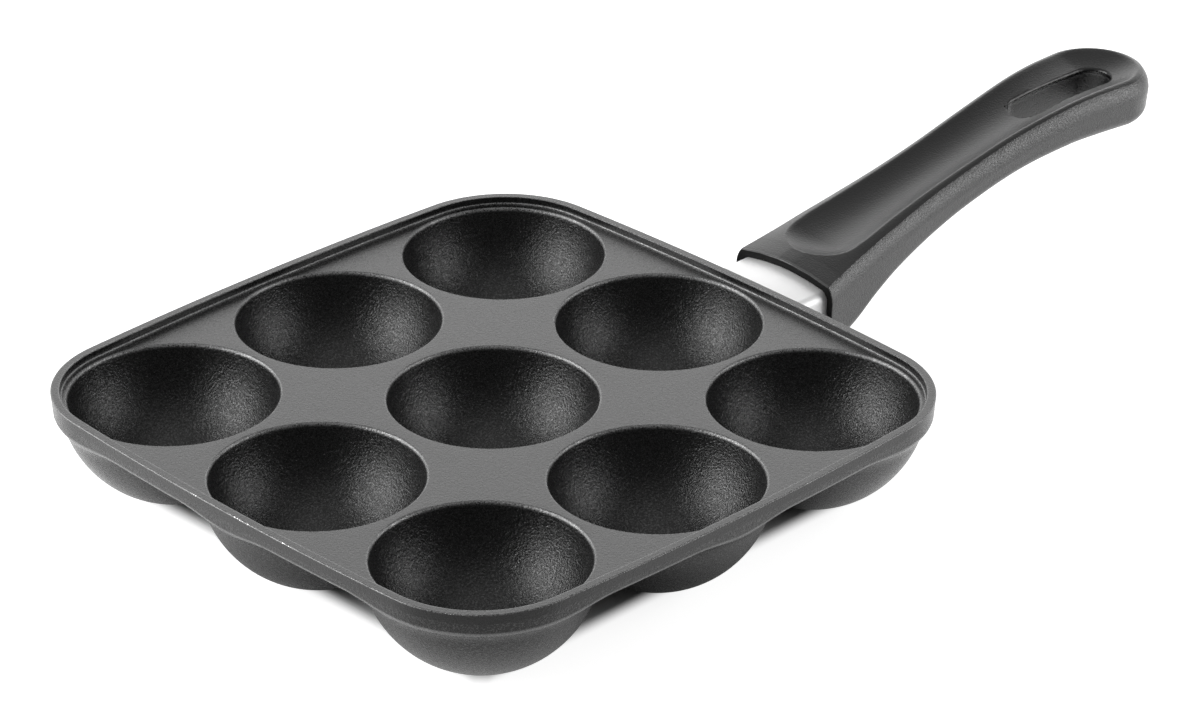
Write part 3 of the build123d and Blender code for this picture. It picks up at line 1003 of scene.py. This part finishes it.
def panCoating():
    material, graph = newMaterial("panCoating")
    grain = graph.noise(1500, 2, 0.6)
    fine = graph.noise(3600, 2, 0.5)
    mottle = graph.noise(140, 3, 0.5)
    cloud = graph.noise(18, 2, 0.5)
    # the edge marks: painted highlight on every rounded edge, and the place of the nicks on the rim's outer
    # edge
    wearAndHighlight = graph.node("ShaderNodeAttribute", attribute_name="wearAndHighlight", out=2)
    tone = graph.clamp(mottle * 0.5 + cloud * 0.5)
    coat = graph.colours(tone, grey(finishes["coatingDark"]), grey(finishes["coatingLight"]))
    # painted highlight: the rounded edges of the lips, ledge, rim and lower edge are painted paler where they
    # catch the light, broken up by noise
    paintedEdgeHighlight = graph.clamp(wearAndHighlight * (0.55 + mottle * 0.9) * (0.6 + fine * 0.8))
    coat = graph.colours(paintedEdgeHighlight, coat, grey(finishes["paintedEdgeHighlight"]))
    # nicks down to the metal, on the rim's outer edge
    near = 0.0
    for x, y, reach in nicks:
        nick = (x * mm, y * mm, rimTop * mm)
        gap = graph.measure("DISTANCE", graph.place(), nick)
        near = near + (1 - graph.between(gap, reach * 0.4 * mm, reach * 1.3 * mm))
    height = graph.node("ShaderNodeSeparateXYZ", {0: graph.place()}, out=2)
    bandLow, bandHigh = [(rimTop - below) * mm for below in finishes["nickBand"]]
    edge = graph.between(wearAndHighlight, 0.62, 0.73) * graph.between(height, bandLow, bandHigh)
    speck = graph.noise(1400, 2, 0.6)
    bare = edge * graph.between(speck + graph.clamp(near) * 0.2, 0.74, 0.79)
    # the coating sparkles where it was sprayed thick, and was wiped smooth on the plate
    flat = graph.between(height, (plateTop - finishes["wipedFrom"]) * mm, plateTop * mm)
    flat = flat * (1 - graph.between(wearAndHighlight, 0.0, 0.2))
    fleck = graph.between(graph.noise(2100, 1, 0.5), 0.46, 0.62) * (1 - flat * 0.8)
    coat = graph.colours(fleck * (1 - paintedEdgeHighlight), coat, grey(finishes["fleck"]))
    colour = graph.colours(bare, coat, grey(finishes["bareMetal"]))
    metal = graph.clamp(fleck * finishes["fleckShine"] + bare)
    rough = finishes["coatingRough"] + (grain - 0.5) * 0.2 + (mottle - 0.5) * 0.05
    rise = (grain - 0.5 + (fine - 0.5) * 0.4) * (1 - flat * 0.5)
    graph.surface(Base_Color=colour, Roughness=rough, Metallic=metal,
                  Specular_IOR_Level=finishes["coatingSheen"],
                  Normal=graph.bump(rise, finishes["coatingGrain"] * mm))
    return material


def gripSmooth():
    material, graph = newMaterial("gripSmooth")
    grain = graph.noise(1700, 2, 0.5)
    cloud = graph.noise(60, 2, 0.5)
    colour = graph.colours(graph.clamp(cloud), grey(finishes["gripTop"]), grey(finishes["gripTop"] * 1.3))
    # painted highlight: the edge over the sleeve is painted paler where its round catches the light
    along = graph.node("ShaderNodeSeparateXYZ", {0: graph.place()})
    near, far = [(gripMouth + past) * mm for past in finishes["mouthHighlightFades"]]
    edge = 1 - graph.between(along, near, far)
    colour = graph.colours(edge, colour, grey(finishes["paintedHighlightLine"]))
    rough = finishes["topRough"] + (grain - 0.5) * 0.15
    graph.surface(Base_Color=colour, Roughness=rough, Normal=graph.bump(grain, finishes["topGrain"] * mm))
    return material


def gripGrained():
    material, graph = newMaterial("gripGrained")
    grain = graph.noise(1700, 3, 0.6)
    patch = graph.noise(90, 2, 0.5)
    side = finishes["gripSide"]
    colour = graph.colours(graph.between(grain, 0.35, 0.65), grey(side * 0.8), grey(side * 1.3))
    # painted shade: inside the slot it is darker further down, with a thin band of painted shadow under the
    # rounded edge, and under that a paler line, a painted highlight along the parting line
    below = graph.node("ShaderNodeAttribute", attribute_name="belowTop", out=2)
    past = graph.between(below, *finishes["shadowBandEnds"])
    step = graph.between(below, *finishes["shadowBandBegins"]) * (1 - past)
    line = past * (1 - graph.between(below, *finishes["highlightLineEnds"]))
    inside = graph.between(below, *finishes["slotDarkens"])
    fleck = graph.between(graph.noise(2100, 1, 0.5), 0.48, 0.64) * (1 - step) * (1 - inside * 0.6)
    colour = graph.colours(inside, colour, grey(finishes["slotShade"]))
    colour = graph.colours(line, colour, grey(finishes["paintedHighlightLine"]))
    colour = graph.colours(step, colour, grey(finishes["stepShadow"]))
    colour = graph.colours(fleck * (1 - line), colour, grey(finishes["fleck"]))
    rough = finishes["gripRough"] + (grain - 0.5) * 0.2 + (patch - 0.5) * 0.1 - step * 0.2
    graph.surface(Base_Color=colour, Roughness=rough, Metallic=fleck * finishes["fleckShine"],
                  Specular_IOR_Level=finishes["gripSheen"],
                  Normal=graph.bump(grain, finishes["gripGrain"] * mm))
    return material


def gripMouthShade():
    # cut square, without the mould's grain, and painted near black as painted shade for the recess round the
    # sleeve
    material, graph = newMaterial("gripMouth")
    grain = graph.noise(900, 2, 0.5)
    rough = finishes["mouthRough"] + (grain - 0.5) * 0.1
    graph.surface(Base_Color=grey(finishes["gripMouth"]), Roughness=rough,
                  Specular_IOR_Level=finishes["mouthSheen"])
    return material


def brushedSleeve():
    material, graph = newMaterial("sleeveSteel")
    lines = graph.node("ShaderNodeMapping", {"Vector": graph.place(), "Scale": (60, 2500, 2500)})
    brush = graph.noise(1, 2, 0.6, lines)
    colour = graph.colours(graph.clamp(brush), grey(finishes["steel"] * 0.95), grey(finishes["steel"]))
    rough = finishes["steelRough"] + (brush - 0.5) * 0.15
    graph.surface(Base_Color=colour, Metallic=finishes["steelMetal"], Roughness=rough,
                  Normal=graph.bump(brush, finishes["steelBrush"] * mm, 0.3))
    return material


def fastenerSteel():
    material, graph = newMaterial("fastenerSteel")
    spots = graph.noise(900, 3, 0.6)
    colour = graph.colours(graph.clamp(spots), grey(0.42), grey(0.56))
    graph.surface(Base_Color=colour, Metallic=1.0, Roughness=0.35 + (spots - 0.5) * 0.3)
    return material


def dress(piece, node, materials):
    for material in materials:
        piece.data.materials.append(material)
    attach(piece, "root")
    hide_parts(node)


panPiece = buildPan()
dress(panPiece, "pan_body", [panCoating()])
print("pan body:", len(panPiece.data.polygons), "faces")

ferrulePiece = buildFerrule()
dress(ferrulePiece, "ferrule", [brushedSleeve()])
print("sleeve:", len(ferrulePiece.data.polygons), "faces")

gripPiece = buildGrip()
print("grip before cuts:", len(gripPiece.data.polygons), "faces")
cutGrip(gripPiece)
dress(gripPiece, "handle_grip", [gripSmooth(), gripGrained(), gripMouthShade()])
print("grip:", len(gripPiece.data.polygons), "faces")

steel = fastenerSteel()
dress(buildScrew(), "handle_screw", [steel])
dress(buildWasher(), "lock_washer", [steel])
print("fasteners done")

# Studio: a pale floor, a soft world that is brightest behind the pan, and a soft box to each side.
# Lengths are in metres. A box has its heading, height, width and breadth in degrees, and then its power.
studio = {
    "floorHalf": 3.0,
    "floorColour": 0.70,
    "floorShown": 0.85,
    "floorMirrored": 0.72,
    "shade": (0.0755, 0.083),
    "mirrored": (0.09, 0.13),
    "frontDims": (-0.17, -0.10),
    "overhead": 0.66,
    "behind": 1.86,
    "behindFades": (0.42, 0.90),
    "around": 0.02,
    "leftBox": (-91, 21, 64, 40, 6.5),
    "rightBox": (87, 17, 36, 34, 4.5),
    "boxDistance": 1.3,
}
heading = radians(45.90554)  # the way the camera looks, seen from above
away = Vector((cos(heading), sin(heading), 0))
aside = Vector((sin(heading), -cos(heading), 0))


def buildFloor():
    bm = bmesh.new()
    bmesh.ops.create_grid(bm, x_segments=1, y_segments=1, size=studio["floorHalf"] / mm)
    floor = objectFrom("floor", meshFrom(bm, "floor", close=False))
    material, graph = newMaterial("floorPaper")
    paper = graph.node("ShaderNodeBsdfDiffuse", {"Color": grey(studio["floorColour"])})
    # the paper shows white, except in the pan's own shade under it
    spot = graph.node("ShaderNodeVectorMath", {0: graph.place()}, operation="ABSOLUTE")
    across = graph.node("ShaderNodeSeparateXYZ", {0: spot})
    along = graph.node("ShaderNodeSeparateXYZ", {0: spot}, out=1)
    reach = graph.sum("MAXIMUM", graph.sum("MAXIMUM", across, along), (across + along) * 0.51)
    outside = graph.between(reach, *studio["shade"])
    # and it shines beside and behind the pan, not in front of it
    far = graph.between(graph.measure("LENGTH", spot), *studio["mirrored"])
    depth = graph.measure("DOT_PRODUCT", graph.place(), away)
    beyond = far * graph.between(depth, *studio["frontDims"])
    seen = graph.node("ShaderNodeLightPath") * outside * studio["floorShown"]
    mirrored = graph.node("ShaderNodeLightPath", out=3) * beyond * studio["floorMirrored"]
    white = graph.node("ShaderNodeEmission", {"Color": grey(1.0), "Strength": seen + mirrored})
    both = graph.node("ShaderNodeAddShader", {0: paper, 1: white})
    graph.node("ShaderNodeOutputMaterial", {"Surface": both})
    floor.data.materials.append(material)


def buildWorld():
    world = bpy.data.worlds.new("studioWorld")
    world.use_nodes = True
    graph = Graph(world.node_tree)
    direction = graph.node("ShaderNodeTexCoord")
    behind = graph.measure("DOT_PRODUCT", direction, away)
    height = graph.measure("DOT_PRODUCT", direction, Vector((0, 0, 1)))
    level = graph.clamp(height)**4 * studio["overhead"]
    level = level + graph.between(behind, *studio["behindFades"]) * studio["behind"]
    soft = graph.node("ShaderNodeBackground", {"Color": grey(1.0), "Strength": level + studio["around"]})
    white = graph.node("ShaderNodeBackground", {"Color": grey(1.0), "Strength": 1.0})
    seen = graph.node("ShaderNodeLightPath")
    shown = graph.node("ShaderNodeMixShader", {0: seen, 1: soft, 2: white})
    graph.node("ShaderNodeOutputWorld", {"Surface": shown})
    bpy.context.scene.world = world


def softBox(name, side, up, wide, high, power):
    # the angles say where the box stands and how large it looks, both seen from the pan
    distance = studio["boxDistance"]
    level = away * cos(radians(side)) + aside * sin(radians(side))
    place = (level * cos(radians(up)) + Vector((0, 0, sin(radians(up))))) * distance
    light = bpy.data.lights.new(name, "AREA")
    light.shape = "RECTANGLE"
    light.size = 2 * distance * sin(radians(wide / 2))
    light.size_y = 2 * distance * sin(radians(high / 2))
    light.energy = power * pi * light.size * light.size_y
    lamp = objectFrom(name, light)
    lamp.location = place
    lamp.rotation_euler = place.to_track_quat("Z", "Y").to_euler()
    lamp.visible_camera = False


buildFloor()
buildWorld()
softBox("leftBox", *studio["leftBox"])
softBox("rightBox", *studio["rightBox"])

# Camera: a fit of the pan's ellipses and outline in the photo; lengths from the plate's middle, in metres
shot = {
    "lookDown": 27.97970,  # degrees
    "distance": 1.493289,
    "across": 0.032747,
    "above": 0.010271,
    "lens": 146.2266,
    "sensor": 36,
    "seesTo": 20,
}


def buildCamera():
    camera = bpy.data.cameras.new("camera")
    camera.sensor_fit = "HORIZONTAL"
    camera.sensor_width = shot["sensor"]
    camera.lens = shot["lens"]
    camera.clip_end = shot["seesTo"]
    eye = objectFrom("camera", camera)
    down = radians(shot["lookDown"])
    back = Vector((0, 0, sin(down))) - away * cos(down)
    up = Vector((0, 0, cos(down))) + away * sin(down)
    turn = Matrix((aside, up, back)).transposed().to_4x4()
    place = back * shot["distance"] + aside * shot["across"] + up * shot["above"]
    place.z += plateTop * mm
    eye.matrix_world = Matrix.Translation(place) @ turn
    bpy.context.scene.camera = eye


buildCamera()
bpy.context.scene.view_settings.view_transform = "Standard"
print("studio and camera done")
